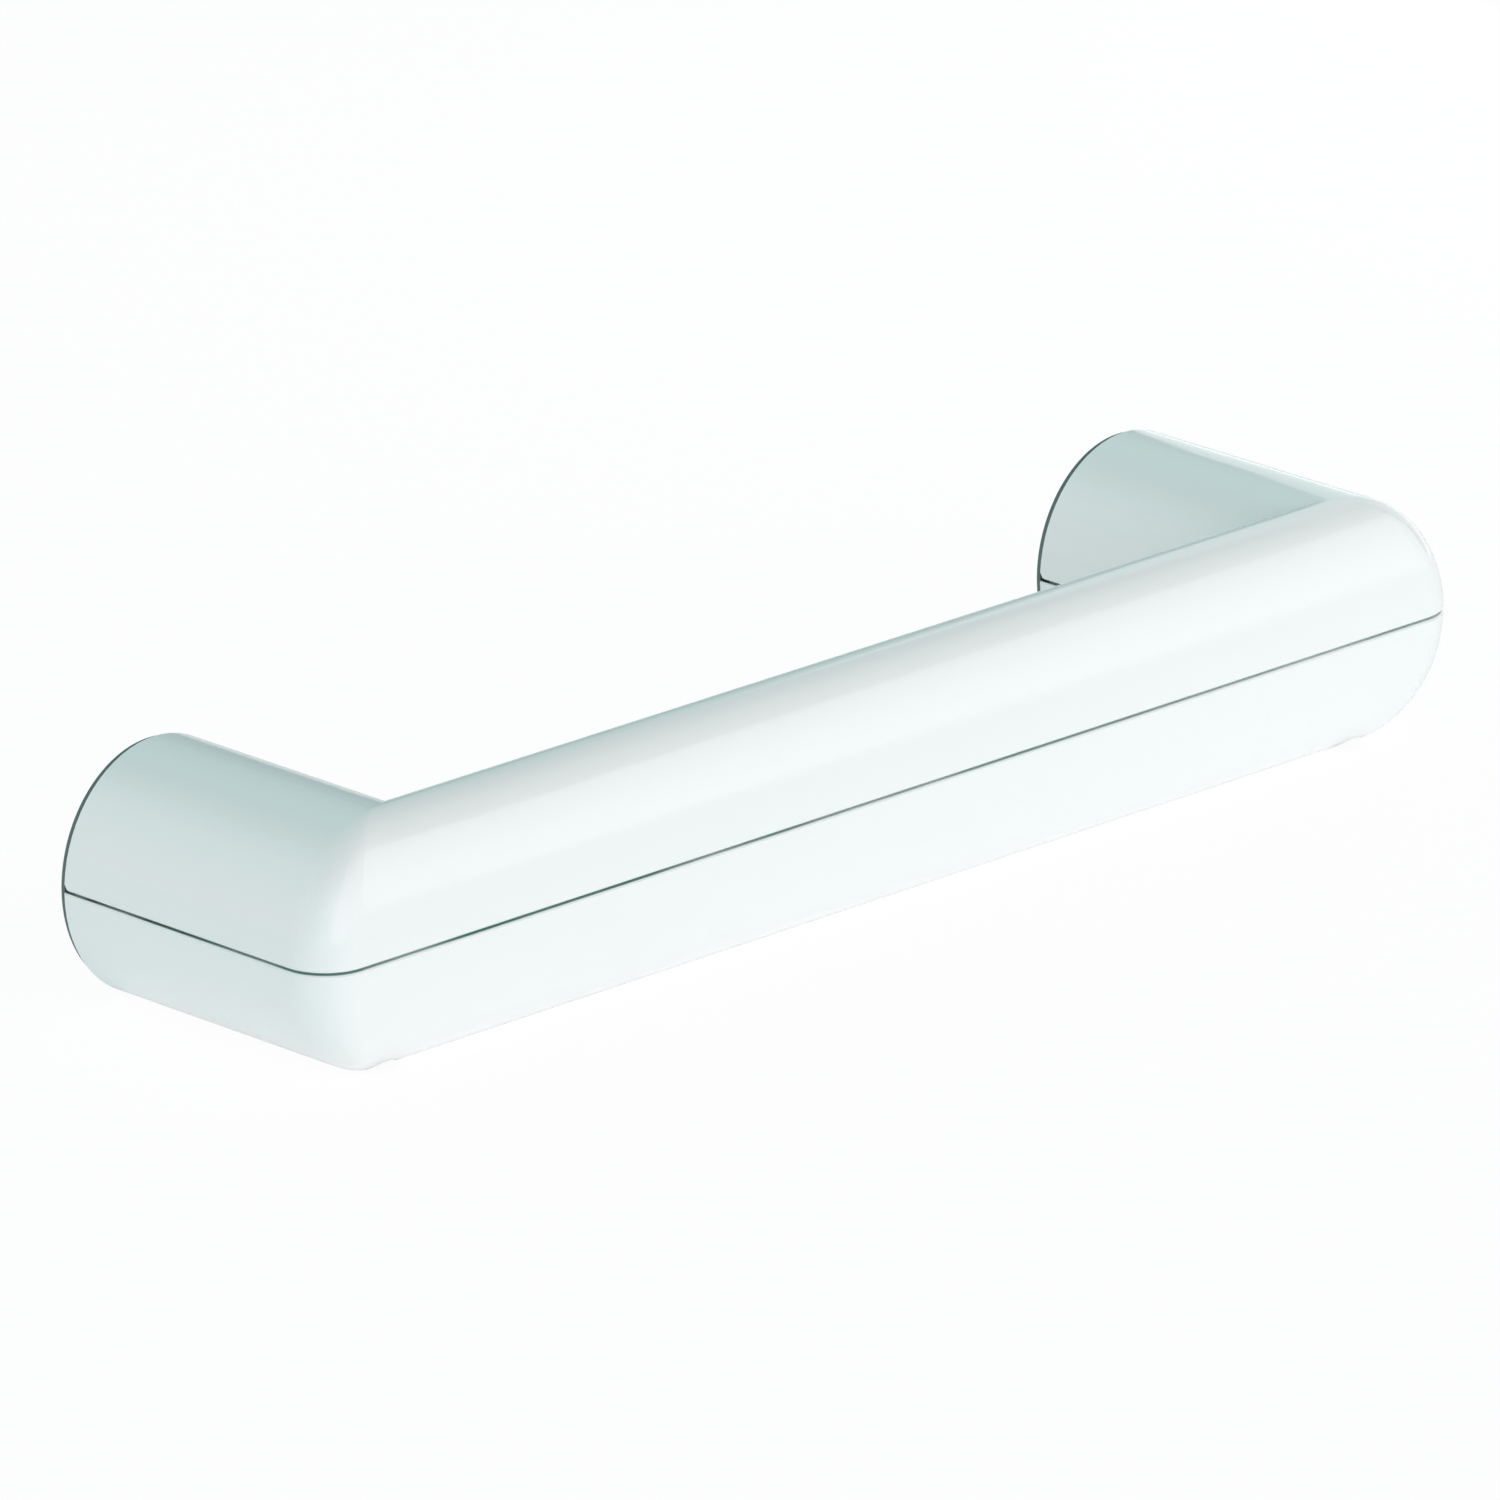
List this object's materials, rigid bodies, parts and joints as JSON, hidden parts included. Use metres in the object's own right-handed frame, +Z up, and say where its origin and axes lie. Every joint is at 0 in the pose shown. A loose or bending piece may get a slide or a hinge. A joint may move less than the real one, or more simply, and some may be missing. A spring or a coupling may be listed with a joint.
{
  "type": "towel rail",
  "caption": "Short wall-mounted towel rail: an oval bar carried on two broad oval legs with mitred corners, moulded as half shells closed over a folded steel strip.",
  "frame": {"origin": "on the wall face, midway between the two fixing holes, at the height of the parting line", "axes": "+X along the rail, +Y towards the wall, +Z up"},
  "size_m": [0.25, 0.0585, 0.041],
  "materials": {
    "shell_plastic": "gloss",
    "strip_steel": "zinc plated",
    "pad_rubber": "matt",
    "screw_steel": "plain"
  },
  "bodies": {
    "root": {"upper_shell": "shell_plastic", "lower_shell": "shell_plastic", "core_strip": "strip_steel", "wall_pad_left": "pad_rubber", "wall_pad_right": "pad_rubber", "shell_screw_left_corner": "screw_steel", "shell_screw_left_foot": "screw_steel", "shell_screw_right_foot": "screw_steel", "shell_screw_right_corner": "screw_steel"}
  },
  "joints": []
}
